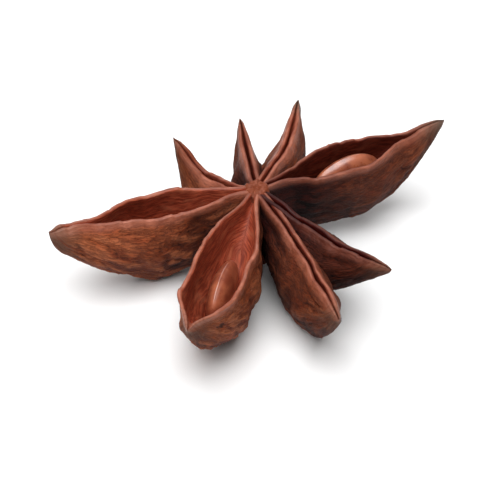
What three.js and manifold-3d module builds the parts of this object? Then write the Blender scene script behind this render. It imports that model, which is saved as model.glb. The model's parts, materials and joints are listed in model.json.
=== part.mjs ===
// Star anise pod: a dried, woody fruit of eight boat-shaped carpels round a short column.
// It lies on its keels with the split edges up. Millimetres, +Z up, +X to the right of someone
// who faces the pod along +Y. The origin is the middle of the stalk scar, where it touches the table.
//
// A carpel is one loft. Each cross-section runs from the keel up one flank, over the lip, down into
// the cavity (or the shallow suture groove of a carpel that stayed shut) and back the same way.

import * as THREE from 'three';
import { LoftGeometry } from 'three/addons/geometries/LoftGeometry.js';
import { mergeVertices } from 'three/addons/utils/BufferGeometryUtils.js';
import Module from 'manifold-3d';

// ---------------------------------------------------------------- driving sizes

const LIP_HEIGHT = 8.0; // split edges above the table
const COLUMN_RADIUS = 1.2; // knob in the middle of the star, seen from above
const KNOB_RISE = 0.3; // knob over the split edges
const SCAR_RADIUS = 1.35; // flat end of the broken stalk, underneath
const WALL = 0.62; // woody wall of a carpel
const LIP = 0.42; // wall at the split edge
const FLOOR = 0.9; // wall under the cavity, at the keel
const SHUT_GAP = 0.11; // half the gap between the lips of a shut carpel
const GROOVE = 0.7; // depth of the suture groove of a shut carpel
const STATION = 0.8; // spacing of the cross-sections

// One entry for each carpel, counter-clockwise from the right.
// azimuth: degrees from +X. length: column axis to tip. girth: widest flank to flank.
// depth: split edge to keel. gape: widest opening between the lips, 0 for a shut carpel.
// mouth: shares of the length where the opening starts, is full, starts to close, is shut.
// fullness: how far the keel stays deep before it climbs to the tip (1 is a straight climb).
// stout: how far the flanks stay wide before they narrow to the tip (1 is a straight taper).
// beak: rise of the tip over the split edge. dip: sag of the split edge between column and tip.
// nose: depth of the tip before it closes. sway: sideways bow, to the carpel's left seen from the column.
const SHUT = [0, 0, 0, 0];
const CARPELS = [
  {
    name: 'right', azimuth: 27, length: 19.3, girth: 4.9, depth: 7.1,
    gape: 3.6, mouth: [0.1, 0.42, 0.56, 0.82], fullness: 2.3, stout: 1.35,
    beak: 1, dip: 0.15, nose: 0.5, sway: 0.5,
  },
  {
    name: 'back_right', azimuth: 72, length: 12.5, girth: 4.4, depth: 6.6,
    gape: 0, mouth: SHUT, fullness: 1.9, stout: 0.95,
    beak: 0.9, dip: 0.2, nose: 0.4, sway: -0.5,
  },
  {
    name: 'back', azimuth: 99.5, length: 9.3, girth: 3.3, depth: 6.2,
    gape: 0, mouth: SHUT, fullness: 2.6, stout: 1.1,
    beak: 0.85, dip: 0.2, nose: 0.4, sway: 0,
  },
  {
    name: 'back_left', azimuth: 141, length: 9.8, girth: 4.3, depth: 6.1,
    gape: 0, mouth: SHUT, fullness: 3.2, stout: 1.2,
    beak: 1, dip: 1.9, nose: 0.4, sway: -0.3,
  },
  {
    name: 'left', azimuth: 200, length: 19.7, girth: 5.8, depth: 8.2,
    gape: 3, mouth: [0.06, 0.36, 0.5, 0.84], fullness: 1.25, stout: 1.5,
    beak: 0.6, dip: 0, nose: 2, sway: -0.6,
  },
  {
    name: 'front_left', azimuth: 253.3, length: 21, girth: 6.2, depth: 8.2,
    gape: 4.3, mouth: [0.02, 0.42, 0.74, 1], fullness: 1.9, stout: 2,
    beak: 0.6, dip: 0, nose: 0.7, sway: 0.1,
  },
  {
    name: 'front', azimuth: 291, length: 20, girth: 4.3, depth: 8.2,
    gape: 0, mouth: SHUT, fullness: 1.7, stout: 1.4,
    beak: 0.5, dip: 0, nose: 0.6, sway: 0.6,
  },
  {
    name: 'front_right', azimuth: 315, length: 16.8, girth: 4.2, depth: 6.9,
    gape: 0, mouth: SHUT, fullness: 1, stout: 1.3,
    beak: 0.5, dip: 0, nose: 0.5, sway: -0.5,
  },
];

// Seeds that show in the open carpels: flattened, standing on edge.
const SEED = { length: 7.0, height: 4.7, thickness: 2.2 };
const SEEDS = [
  { carpel: 'right', along: 9.4, height: 5.3, pitch: -5 },
  { carpel: 'front_left', along: 10.8, height: 4.5, pitch: 5 },
];

// Along a carpel, as shares of its length where no other unit is named.
const START = 0.3; // first cross-section, mm from the column axis
const CROWDING = 0.12; // how much the cross-sections crowd towards the tip
const BELLY = 0.5; // where the keel is lowest
const WIDEST = 0.52; // where the flanks are widest
const INNER_DEPTH = 0.84; // share of the depth left at the column
const INNER_GIRTH = 0.3; // share of the girth left at the column
const BEAK_START = 0.6; // where the tip starts to rise
const BEAK_CURVE = 1.5; // how late it rises
const SEALED = 0.55; // share by which gap and groove shrink at the tip
const SEAL_START = 0.7; // where they start to
const SEAL_END = 0.9; // where they have shrunk
const NOSE_LENGTH = 0.5; // share of the nose's depth over which the tip closes
const NOSE_LEAST = 0.5; // added to it, mm
const NOSE_HALF = 0.32; // half width of the nose as a share of its depth

// Across a carpel.
const BELLY_HEIGHT = 0.58; // share of the depth at which a cross-section is widest
const KEEL_CURVE = 0.78; // sharpness of the keel: 0.5 is round, 1 is a blunt V
const SHOULDER = 1.7; // how high the flank stays wide: 1 runs straight to the lip
const BOWL = 0.5; // share of the hollow's depth that its rounded floor takes
const PINCH = 0.5; // least width of the hollow, as a share of the gap
const GAP_MOST = 0.3; // share of a narrow carpel that a shut gap can take
const LIP_MOST = 0.5; // share of a narrow carpel that a lip can take
const GROOVE_MOST = 0.35; // share of a shallow carpel that its groove can take
const CREST_OUT = 0.35; // top of the lip, from its inner edge, as a share of the lip
const CREST_UP = 0.3; // its rise, as a share of the lip

// Folds of the dried skin, in two trains of waves that slant up and down the flank.
// share: part of the height. spacing: mm along the flank. slant: waves from keel to lip.
// turns: how fast the phase changes from one carpel to the next.
const FOLDS = [
  { share: 0.55, spacing: 7.5, slant: 1.3, turns: 1 },
  { share: 0.45, spacing: 3.525, slant: -0.9, turns: 2.3 },
];
const FOLD_HEIGHT = 0.2; // both trains together, mm
const FOLD_FULL = 1.4; // half width of a carpel above which the folds have their full height, mm
const FOLD_DEGREES = 57; // azimuth over which their phase turns once
const FOLD_SIDE = 0.31; // phase by which the flanks of one carpel differ from its middle

// Waves of the split edges.
const RIPPLE_LENGTH = 5.2; // mm
const RIPPLE_HEIGHT = 0.1; // mm
const RIPPLE_DEGREES = 41; // azimuth over which their phase turns once

// The column under its knob: radius and height in mm.
const STUMP = [[SCAR_RADIUS, 0], [SCAR_RADIUS * 1.06, 0.3], [SCAR_RADIUS * 0.9, 0.9]];
const SEAT = [[2, 1.9], [2.1, 2.8]];
const WAIST_HEIGHT = 4.5;
// The knob: share of the column's radius, and mm under the knob's top.
const KNOB = [[1, 0.45], [0.8, 0.1], [0.5, 0], [0.25, 0.1], [0, 0.25]];

// Facets round the column, round a seed and from end to end of a seed.
const COLUMN_SIDES = 20;
const SEED_SIDES = 20;
const SEED_RINGS = 12;

// ---------------------------------------------------------------- carpels

const clamp = THREE.MathUtils.clamp;
const ease = (from, to, x) => THREE.MathUtils.smoothstep(x, from, to);

// The opening of a carpel at a share u of its length: 0 where the lips touch, 1 where they stand widest.
function opening(carpel, u) {
  const [starts, full, closes, shut] = carpel.mouth;
  return carpel.gape > 0 ? ease(starts, full, u) * (1 - ease(closes, shut, u)) : 0;
}

// Sizes of one cross-section at a share u of the carpel's length.
function station(carpel, u) {
  const outer = clamp((u - BELLY) / (1 - BELLY), 0, 1);
  const inner = INNER_DEPTH + (1 - INNER_DEPTH) * ease(0, BELLY, u);
  const closing = (NOSE_LENGTH * carpel.nose + NOSE_LEAST) / carpel.length;
  const nose = Math.sqrt(1 - clamp((u - 1 + closing) / closing, 0, 1) ** 2);
  const deep = carpel.depth * inner;
  const depth = (carpel.nose + (deep - carpel.nose) * (1 - outer ** carpel.fullness)) * nose;

  const taper = clamp((u - WIDEST) / (1 - WIDEST), 0, 1);
  const swell = INNER_GIRTH + (1 - INNER_GIRTH) * ease(0, WIDEST, u);
  const tipHalf = NOSE_HALF * carpel.nose;
  const half = (tipHalf + (carpel.girth / 2 * swell - tipHalf) * (1 - taper ** carpel.stout)) * nose;

  const open = opening(carpel, u);
  const sealed = 1 - SEALED * ease(SEAL_START, SEAL_END, u);
  const shut = Math.min(SHUT_GAP * sealed, GAP_MOST * half);
  const gap = shut + open * (carpel.gape / 2 - shut);
  const lip = Math.min(LIP, LIP_MOST * half);
  const beak = carpel.beak * ease(BEAK_START, 1, u) ** BEAK_CURVE;
  const dip = carpel.dip * Math.sin(Math.PI * u);
  const edge = LIP_HEIGHT + beak - dip + ripple(carpel, u * carpel.length);
  const top = edge - depth * (1 - nose) / 2;
  const groove = Math.min(GROOVE * sealed, GROOVE_MOST * depth);
  const hollow = groove + open * Math.max(depth - FLOOR - groove, 0);
  return { depth, half, open, gap, lip, top, hollow };
}

// Outer half width at a share h of the depth: a rounded keel, a belly, then in or out to the lip.
function flank(s, h) {
  if (h < BELLY_HEIGHT) {
    return s.half * Math.sin((Math.PI / 2) * (h / BELLY_HEIGHT)) ** KEEL_CURVE;
  }
  const rise = (h - BELLY_HEIGHT) / (1 - BELLY_HEIGHT);
  return s.half + (s.gap + s.lip - s.half) * rise ** SHOULDER;
}

// Inner half width at a share g of the hollow's depth, counted from its floor.
function hollowHalf(s, g) {
  const h = 1 - (s.hollow / s.depth) * (1 - g);
  const wall = WALL + (s.lip - WALL) * g ** 2;
  const scooped = Math.max(flank(s, h) - wall, s.gap * PINCH);
  const across = s.gap + (scooped - s.gap) * s.open;
  return across * Math.sqrt(1 - (1 - clamp(g / BOWL, 0, 1)) ** 2);
}

// Height of the folds on the flank of one side (1 or -1). They fade out at the keel, the lip and the tip.
function fold(carpel, s, along, h, side) {
  const phase = carpel.azimuth / FOLD_DEGREES + FOLD_SIDE * side;
  const waves = FOLDS.map(({ share, spacing, slant, turns }) => (
    share * Math.sin(2 * Math.PI * (along / spacing + slant * h + turns * phase))
  ));
  const height = FOLD_HEIGHT * Math.min(s.half / FOLD_FULL, 1) * Math.sin(Math.PI * h);
  return height * (waves[0] + waves[1]);
}

// Waves of the split edge, the same on both lips.
function ripple(carpel, along) {
  const wave = Math.sin(2 * Math.PI * (along / RIPPLE_LENGTH + carpel.azimuth / RIPPLE_DEGREES));
  return RIPPLE_HEIGHT * wave * Math.sin((Math.PI * along) / carpel.length);
}

// Heights of the points on a cross-section: on the flank from the keel up, closer together near the
// keel, and in the hollow from the lip down, where a groove needs only one.
const FLANK_STEPS = 7;
const KEEL_CROWDING = 1.35;
const flankShares = Array.from({ length: FLANK_STEPS }, (_, i) => (i + 1) / FLANK_STEPS);
const flankHeights = flankShares.map((share) => share ** KEEL_CROWDING);
const CAVITY_HEIGHTS = [0.82, 0.6, 0.36, 0.14];
const GROOVE_HEIGHTS = [0.5];

function crossSection(carpel, along) {
  const s = station(carpel, along / carpel.length);
  const shift = carpel.sway * Math.sin((Math.PI * along) / carpel.length);
  const keel = s.top - s.depth;
  const limb = (side) => {
    const outside = flankHeights.map((h) => [
      side * (flank(s, h) + fold(carpel, s, along, h, side)),
      keel + h * s.depth,
    ]);
    const crest = [[side * (s.gap + CREST_OUT * s.lip), s.top + CREST_UP * s.lip]];
    const inside = (carpel.gape > 0 ? CAVITY_HEIGHTS : GROOVE_HEIGHTS).map((g) => [
      side * hollowHalf(s, g),
      s.top - s.hollow * (1 - g),
    ]);
    return [...outside, ...crest, ...inside];
  };
  const ring = [[0, keel], ...limb(1), [0, s.top - s.hollow], ...limb(-1).reverse()];
  return ring.map(([y, z]) => new THREE.Vector3(along, y + shift, Math.max(z, 0)));
}

function carpelGeometry(carpel) {
  const end = carpel.length * (1 - 1e-3);
  const count = Math.ceil((end - START) / STATION);
  const sections = [];
  for (let i = 0; i <= count; i++) {
    // The sections crowd a little towards the tip, where the shape turns fastest.
    const share = i / count + CROWDING * Math.sin((Math.PI * i) / count);
    const along = START + (end - START) * share;
    sections.push(crossSection(carpel, Math.min(along, end)));
  }
  const geometry = new LoftGeometry(sections, { capStart: true, capEnd: true });
  return geometry.rotateZ(THREE.MathUtils.degToRad(carpel.azimuth));
}

// ---------------------------------------------------------------- column and stalk scar

function columnGeometry() {
  const top = LIP_HEIGHT + KNOB_RISE;
  const knob = KNOB.map(([share, below]) => [COLUMN_RADIUS * share, top - below]);
  const profile = [[0, 0], ...STUMP, ...SEAT, [COLUMN_RADIUS, WAIST_HEIGHT], ...knob];
  const points = profile.map(([radius, z]) => new THREE.Vector2(radius, z));
  return new THREE.LatheGeometry(points, COLUMN_SIDES).rotateX(Math.PI / 2);
}

// ---------------------------------------------------------------- joining

const wasm = await Module();
wasm.setup();

function solidOf(geometry) {
  const bare = new THREE.BufferGeometry();
  bare.setAttribute('position', geometry.getAttribute('position'));
  bare.setIndex(geometry.index);
  const merged = mergeVertices(bare, 1e-4);
  return new wasm.Manifold(new wasm.Mesh({
    numProp: 3,
    vertProperties: merged.getAttribute('position').array,
    triVerts: new Uint32Array(merged.index.array),
  }));
}

function geometryOf(solid) {
  const mesh = solid.getMesh();
  const geometry = new THREE.BufferGeometry();
  geometry.setAttribute('position', new THREE.BufferAttribute(mesh.vertProperties, 3));
  geometry.setIndex(new THREE.BufferAttribute(mesh.triVerts, 1));
  geometry.computeVertexNormals();
  return geometry;
}

function podMesh() {
  const solid = CARPELS.map(carpelGeometry).map(solidOf).reduce(
    (whole, carpel) => whole.add(carpel),
    solidOf(columnGeometry()),
  );
  const bark = new THREE.MeshStandardMaterial({ color: 0x6f3b27, roughness: 0.72, metalness: 0 });
  const mesh = new THREE.Mesh(geometryOf(solid), bark);
  mesh.name = 'pod';
  return mesh;
}

// ---------------------------------------------------------------- seeds

function seedMesh({ carpel: name, along, height, pitch }) {
  const carpel = CARPELS.find((c) => c.name === name);
  const geometry = new THREE.SphereGeometry(0.5, SEED_SIDES, SEED_RINGS);
  geometry.scale(SEED.length, SEED.thickness, SEED.height);
  const glossy = new THREE.MeshStandardMaterial({ color: 0x6b2f1c, roughness: 0.25, metalness: 0 });
  const mesh = new THREE.Mesh(geometry, glossy);
  mesh.name = `seed_${name}`;
  const turn = THREE.MathUtils.degToRad(carpel.azimuth);
  const shift = carpel.sway * Math.sin((Math.PI * along) / carpel.length);
  mesh.position.set(along, shift, height).applyAxisAngle(new THREE.Vector3(0, 0, 1), turn);
  mesh.rotation.set(0, THREE.MathUtils.degToRad(pitch), turn, 'ZYX');
  return mesh;
}

const starAnise = new THREE.Group();
starAnise.name = 'star_anise';
starAnise.add(podMesh(), ...SEEDS.map(seedMesh));

export default starAnise;
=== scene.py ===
# %% [markdown]
# # A dried star anise pod
#
# A star anise is a woody fruit of eight carpels, each a little boat that stands on its keel, joined
# at the inner ends to a short column. Along its top edge each boat can split into two lips and show
# a glossy seed. This lesson makes the boats as surfaces of two parameters, joins them into one skin,
# and paints that skin with a shader that knows what is lip, lining, crease and tip.
#
# The solid model of the pod is loaded first. It stays the measure of every size: the skin made here
# lies on it, and only adds what a coarse solid can't hold, which is wrinkles, thin rims and grain.

# %% Load the solid model
import json
import math

import bpy
import numpy as np
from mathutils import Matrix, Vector

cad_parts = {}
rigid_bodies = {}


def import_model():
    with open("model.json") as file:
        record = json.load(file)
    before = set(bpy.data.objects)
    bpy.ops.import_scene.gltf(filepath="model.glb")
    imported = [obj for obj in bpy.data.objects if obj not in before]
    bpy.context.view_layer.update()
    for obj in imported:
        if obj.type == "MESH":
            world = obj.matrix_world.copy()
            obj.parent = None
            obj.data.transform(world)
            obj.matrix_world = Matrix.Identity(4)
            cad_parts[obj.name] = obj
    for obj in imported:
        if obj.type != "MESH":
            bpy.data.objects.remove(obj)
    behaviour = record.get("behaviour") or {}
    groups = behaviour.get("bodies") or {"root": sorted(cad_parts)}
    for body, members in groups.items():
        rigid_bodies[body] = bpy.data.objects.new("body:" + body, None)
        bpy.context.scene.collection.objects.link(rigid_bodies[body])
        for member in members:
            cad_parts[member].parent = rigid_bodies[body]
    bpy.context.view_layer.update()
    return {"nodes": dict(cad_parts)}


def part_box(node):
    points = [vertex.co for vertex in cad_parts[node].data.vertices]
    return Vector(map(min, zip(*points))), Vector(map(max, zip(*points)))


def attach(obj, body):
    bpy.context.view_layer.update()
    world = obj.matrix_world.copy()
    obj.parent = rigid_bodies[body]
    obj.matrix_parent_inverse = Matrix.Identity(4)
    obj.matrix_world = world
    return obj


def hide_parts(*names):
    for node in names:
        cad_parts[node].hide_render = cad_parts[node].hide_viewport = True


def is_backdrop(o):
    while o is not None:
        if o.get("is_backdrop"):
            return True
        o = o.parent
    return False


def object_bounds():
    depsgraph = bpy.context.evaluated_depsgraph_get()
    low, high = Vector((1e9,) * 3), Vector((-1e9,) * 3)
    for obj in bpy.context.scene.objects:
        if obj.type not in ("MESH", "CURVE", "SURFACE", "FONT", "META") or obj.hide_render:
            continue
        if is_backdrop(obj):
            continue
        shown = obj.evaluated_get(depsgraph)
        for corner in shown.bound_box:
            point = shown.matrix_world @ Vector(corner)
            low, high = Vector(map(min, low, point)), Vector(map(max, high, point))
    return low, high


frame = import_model()
MM = 0.001
print("solid nodes:", sorted(frame["nodes"]))

# %% [markdown]
# ## The sizes of the star
#
# Every carpel follows one set of rules and differs only in a few sizes, as the real ones do: three
# stayed small, two never opened, and three stand open. The rules come first, then eight named entries
# that say all that is particular. It could be modelled carpel by carpel with the sculpt tools, but
# then a change to the rule, such as a thicker rim, would have to be made eight times.

# %% Sizes that all carpels share, in millimetres
LIP_HEIGHT = 8.0  # split edges above the table
COLUMN_RADIUS, KNOB_RISE = 1.2, 0.3
SCAR_RADIUS = 1.35
WALL, LIP, FLOOR = 0.62, 0.42, 0.9  # thickness of the flank, of the split edge, and under the cavity
SHUT_GAP, GROOVE = 0.11, 0.7  # half the gap between shut lips, and the depth of their groove
START, CROWDING = 0.3, 0.12  # where the sections start, and the share by which they crowd to the tip
TIP_GAP = 1e-3  # share of the length by which the last section stops short of the tip

# Along a carpel. Places are shares of its length.
BELLY, WIDEST = 0.5, 0.52  # where the keel starts to rise, and the flanks to close in
INNER_DEPTH, INNER_GIRTH = 0.84, 0.3  # what there is of both at the column, as a share
BEAK_START, BEAK_CURVE = 0.6, 1.5  # where the edge starts to rise to the tip, and the rise's power
SEAL_START, SEAL_END, SEALED = 0.7, 0.9, 0.55  # where shut lips close up, and how much of the gap
NOSE_LENGTH, NOSE_LEAST = 0.5, 0.5  # length of the rounded tip, in depths of the tip, plus this in mm
NOSE_HALF = 0.32  # half width of the tip, in depths of the tip

# Across a carpel.
BELLY_HEIGHT, KEEL_CURVE, SHOULDER = 0.58, 0.78, 1.7  # widest height as a share, and two powers
BOWL, PINCH = 0.5, 0.5  # round part of the cavity, and least width, as shares of its height and gap
GAP_MOST, LIP_MOST, GROOVE_MOST = 0.3, 0.5, 0.35  # limits, in half widths, half widths and depths
RIM_RISE = 0.35  # how far the rim stands over the edge, as a share of the lip

# Two trains of folds: share of their height, spacing in mm, waves from keel to lip, turns of phase.
FOLDS = ((0.55, 7.5, 1.3, 1.0), (0.45, 3.525, -0.9, 2.3))
FOLD_HEIGHT, FOLD_FULL = 0.2, 1.4  # height, and half width of a carpel above which it is reached
FOLD_DEGREES, FOLD_SIDE = 57, 0.31  # azimuth for one turn of phase, and turns between the flanks
RIPPLE_LENGTH, RIPPLE_HEIGHT, RIPPLE_DEGREES = 5.2, 0.1, 41
print("walls from", LIP, "to", FLOOR, "mm")

# %% [markdown]
# ## Eight carpels, no two alike
#
# Some carpels of a star never ripen: they stay short and shut, while the full ones split and spread.
# Each entry gives the direction, size, opening and bend of one carpel. Sizes drawn at random would
# give a believable star too, but not a chosen one.

# %% Sizes of the eight carpels
# azimuth: degrees from +X. length, girth, depth and gape: mm, gape being 0 where the lips are shut.
# mouth: shares of the length where the opening starts, is full, starts to close and is shut again.
# fullness and stout: how long the keel and the flanks keep their size before they run to the tip.
# beak: rise of the tip. dip: sag of the edge. nose: depth of the tip. sway: sideways bow.
# grey: how weathered the tip is. shade: how much painted shade darkens the carpel, partly a darker bark.
SHUT_MOUTH = (0, 1, 0, 1)
CARPELS = {
    "right": dict(
        azimuth=27, length=19.3, girth=4.9, depth=7.1, gape=3.6, mouth=(0.1, 0.42, 0.56, 0.82),
        fullness=2.3, stout=1.35, beak=1.0, dip=0.15, nose=0.5, sway=0.5, grey=0.9, shade=0.65,
    ),
    "back_right": dict(
        azimuth=72, length=12.5, girth=4.4, depth=6.6, gape=0.0, mouth=SHUT_MOUTH,
        fullness=1.9, stout=0.95, beak=0.9, dip=0.2, nose=0.4, sway=-0.5, grey=0.9, shade=0.4,
    ),
    "back": dict(
        azimuth=99.5, length=9.3, girth=3.3, depth=6.2, gape=0.0, mouth=SHUT_MOUTH,
        fullness=2.6, stout=1.1, beak=0.85, dip=0.2, nose=0.4, sway=0.0, grey=0.4, shade=0.6,
    ),
    "back_left": dict(
        azimuth=141, length=9.8, girth=4.3, depth=6.1, gape=0.0, mouth=SHUT_MOUTH,
        fullness=3.2, stout=1.2, beak=1.0, dip=1.9, nose=0.4, sway=-0.3, grey=0.4, shade=0.45,
    ),
    "left": dict(
        azimuth=200, length=19.7, girth=5.8, depth=8.2, gape=3.0, mouth=(0.06, 0.36, 0.5, 0.84),
        fullness=1.25, stout=1.5, beak=0.6, dip=0.0, nose=2.0, sway=-0.6, grey=0.6, shade=0.0,
    ),
    "front_left": dict(
        azimuth=253.3, length=21.0, girth=6.2, depth=8.2, gape=4.3, mouth=(0.02, 0.42, 0.74, 1.0),
        fullness=1.9, stout=2.0, beak=0.6, dip=0.0, nose=0.7, sway=0.1, grey=0.4, shade=0.0,
    ),
    "front": dict(
        azimuth=291, length=20.0, girth=4.3, depth=8.2, gape=0.0, mouth=SHUT_MOUTH,
        fullness=1.7, stout=1.4, beak=0.5, dip=0.0, nose=0.6, sway=0.6, grey=0.5, shade=0.6,
    ),
    "front_right": dict(
        azimuth=315, length=16.8, girth=4.2, depth=6.9, gape=0.0, mouth=SHUT_MOUTH,
        fullness=1.0, stout=1.3, beak=0.5, dip=0.0, nose=0.5, sway=-0.5, grey=0.5, shade=0.9,
    ),
}
for number, carpel in enumerate(CARPELS.values()):
    carpel["seed"] = number
print(len(CARPELS), "carpels,", sum(c["gape"] > 0 for c in CARPELS.values()), "of them with parted lips")

# %% [markdown]
# ## A noise of our own
#
# Dried bark needs irregular wrinkles that are the same at every run. Blender's texture nodes could
# give them in the shader, but then they would only be painted on. A small value noise in numpy moves
# the surface itself: random numbers sit on the whole-numbered points of a grid, and a smooth curve
# blends the eight that surround a point.

# %% Noise
def corner_value(ix, iy, iz, seed):
    """A fixed number from -1 to 1 for each grid point, mixed from its coordinates.

    Each coordinate and the seed is multiplied by a large odd number, then the bits are shifted and mixed.
    """
    mixed = (ix * 374761393 + iy * 668265263 + iz * 1103515245 + seed * 974711) & 0xFFFFFFFF
    mixed = ((mixed ^ (mixed >> 13)) * 1274126177) & 0xFFFFFFFF
    return ((mixed ^ (mixed >> 16)) & 0xFFFFFFFF) / 0x7FFFFFFF - 1.0


def noise(x, y, z=0.0, seed=0):
    """Value noise: the eight corner values of a cell, blended by t^3 (6 t^2 - 15 t + 10) on each axis."""
    x, y, z = np.broadcast_arrays(x, y, z)
    cell = [np.floor(v).astype(np.int64) for v in (x, y, z)]
    t = [v - c for v, c in zip((x, y, z), cell)]
    wx, wy, wz = [v**3 * (v * (6 * v - 15) + 10) for v in t]
    total = 0.0
    for dx, ax in ((0, 1 - wx), (1, wx)):
        for dy, ay in ((0, 1 - wy), (1, wy)):
            for dz, az in ((0, 1 - wz), (1, wz)):
                corner = corner_value(cell[0] + dx, cell[1] + dy, cell[2] + dz, seed)
                total = total + ax * ay * az * corner
    return total


def ease(start, end, x):
    """0 at start, 1 at end, and 3 t^2 - 2 t^3 between them."""
    t = np.clip((x - start) / (end - start), 0, 1)
    return t * t * (3 - 2 * t)


JITTER, VEIN_WIDTH = 0.42, 0.2  # as shares of a cell
FAR_OFF = 9.0  # cells, and further than any centre that is looked at


def cell_walls(x, y, seed=0):
    """1 on the border between two cells of a jittered grid, falling as exp(-(F2 - F1) / VEIN_WIDTH).

    F1 and F2 are the distances to the nearest and the second nearest cell centre.
    """
    ix, iy = np.floor(x).astype(np.int64), np.floor(y).astype(np.int64)
    near, second = np.full(x.shape, FAR_OFF), np.full(x.shape, FAR_OFF)
    for dx in (-1, 0, 1):
        for dy in (-1, 0, 1):
            cx = ix + dx + 0.5 + JITTER * corner_value(ix + dx, iy + dy, 1, seed)
            cy = iy + dy + 0.5 + JITTER * corner_value(ix + dx, iy + dy, 2, seed)
            distance = np.hypot(cx - x, cy - y)
            second = np.minimum(second, np.maximum(near, distance))
            near = np.minimum(near, distance)
    return np.exp(-(second - near) / VEIN_WIDTH)


sample = noise(np.linspace(0, 50, 5000), 0.5, seed=3)
print("noise runs from", round(float(sample.min()), 2), "to", round(float(sample.max()), 2))

# %% [markdown]
# ## One carpel as a surface of two parameters
#
# The first parameter runs from the column to the tip, the second round a cross-section: from the
# keel up the flank, over the rounded lip, down the lining to the floor of the cavity, and back the
# same way on the other side. A shut carpel has the same section with a cavity that is only a groove.
# A boat could also be box-modelled and subdivided, but the formula keeps the wall thickness, the lip
# and the keel as plain numbers.

# %% Cross-section sizes along a carpel
def stations(c, along):
    """The sizes of the cross-sections at the given distances from the column axis.

    depth: full at the belly, then nose + (depth - nose) (1 - outer^fullness) to the tip.
    half: the half width swells to the widest place, then falls as 1 - taper^stout.
    gap: half the opening between the lips. hollow: depth of the cavity, or of the groove where shut.
    top: height of the split edge, with the beak's rise, the dip and a sine for its ripple.
    """
    u = along / c["length"]
    outer = np.clip((u - BELLY) / (1 - BELLY), 0, 1)
    inner = INNER_DEPTH + (1 - INNER_DEPTH) * ease(0, BELLY, u)
    closing = (NOSE_LENGTH * c["nose"] + NOSE_LEAST) / c["length"]
    nose = np.sqrt(1 - np.clip((u - 1 + closing) / closing, 0, 1) ** 2)
    depth = (c["nose"] + (c["depth"] * inner - c["nose"]) * (1 - outer ** c["fullness"])) * nose

    taper = np.clip((u - WIDEST) / (1 - WIDEST), 0, 1)
    swell = INNER_GIRTH + (1 - INNER_GIRTH) * ease(0, WIDEST, u)
    tip_half = NOSE_HALF * c["nose"]
    half = (tip_half + (c["girth"] / 2 * swell - tip_half) * (1 - taper ** c["stout"])) * nose

    starts, full, closes, ends = c["mouth"]
    opened = ease(starts, full, u) * (1 - ease(closes, ends, u)) * (c["gape"] > 0)
    sealed = 1 - SEALED * ease(SEAL_START, SEAL_END, u)
    shut = np.minimum(SHUT_GAP * sealed, GAP_MOST * half)
    groove = np.minimum(GROOVE * sealed, GROOVE_MOST * depth)

    beak = c["beak"] * ease(BEAK_START, 1, u) ** BEAK_CURVE
    dip = c["dip"] * np.sin(np.pi * u)
    turns = along / RIPPLE_LENGTH + c["azimuth"] / RIPPLE_DEGREES
    ripple = RIPPLE_HEIGHT * np.sin(2 * np.pi * turns) * np.sin(np.pi * u)
    return {
        "u": u,
        "depth": depth,
        "half": half,
        "opened": opened,
        "gap": shut + opened * (c["gape"] / 2 - shut),
        "lip": np.minimum(LIP, LIP_MOST * half),
        "top": LIP_HEIGHT + beak - dip + ripple - depth * (1 - nose) / 2,
        "hollow": groove + opened * np.maximum(depth - FLOOR - groove, 0),
    }


def flank(s, h):
    """Outer half width at height h of the depth.

    It is half sin^KEEL_CURVE up to the belly, then a curve of power SHOULDER in to the lip.
    """
    low = s["half"] * np.sin(np.pi / 2 * np.clip(h / BELLY_HEIGHT, 0, 1)) ** KEEL_CURVE
    rise = np.clip((h - BELLY_HEIGHT) / (1 - BELLY_HEIGHT), 0, 1)
    high = s["half"] + (s["gap"] + s["lip"] - s["half"]) * rise**SHOULDER
    return np.where(h < BELLY_HEIGHT, low, high)


def lining(s, g):
    """Inner half width at height g of the cavity: the flank less the wall, closed below by an arc."""
    h = 1 - s["hollow"] / s["depth"] * (1 - g)
    wall = WALL + (s["lip"] - WALL) * g**2
    scooped = np.maximum(flank(s, h) - wall, PINCH * s["gap"])
    across = s["gap"] + (scooped - s["gap"]) * s["opened"]
    return across * np.sqrt(1 - (1 - np.clip(g / BOWL, 0, 1)) ** 2)


probe = stations(CARPELS["left"], np.array([4.0, 10.0, 16.0]))
print("left carpel's depth at 4, 10 and 16 mm:", probe["depth"].round(2))
print("and its half width:", probe["half"].round(2))

# %% [markdown]
# ## From sections to a skin
#
# The grid of points is closed by a point at either end. Two more numbers travel with each point: its
# distance along from the column, and its distance round the section. The second is stretched, so that
# keel and lip are always equally far apart, and it runs back to nothing from the lip to the floor of
# the cavity, where both sides meet. Wrinkles and grain that are laid out in these two numbers run
# along the carpel, follow its lip, and gather at the tip as real ones do.

# %% One side of the cross-sections
KEEL_CROWDING, FLOOR_CROWDING = 1.35, 1.6  # powers that bring the points closer to keel and floor


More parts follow.
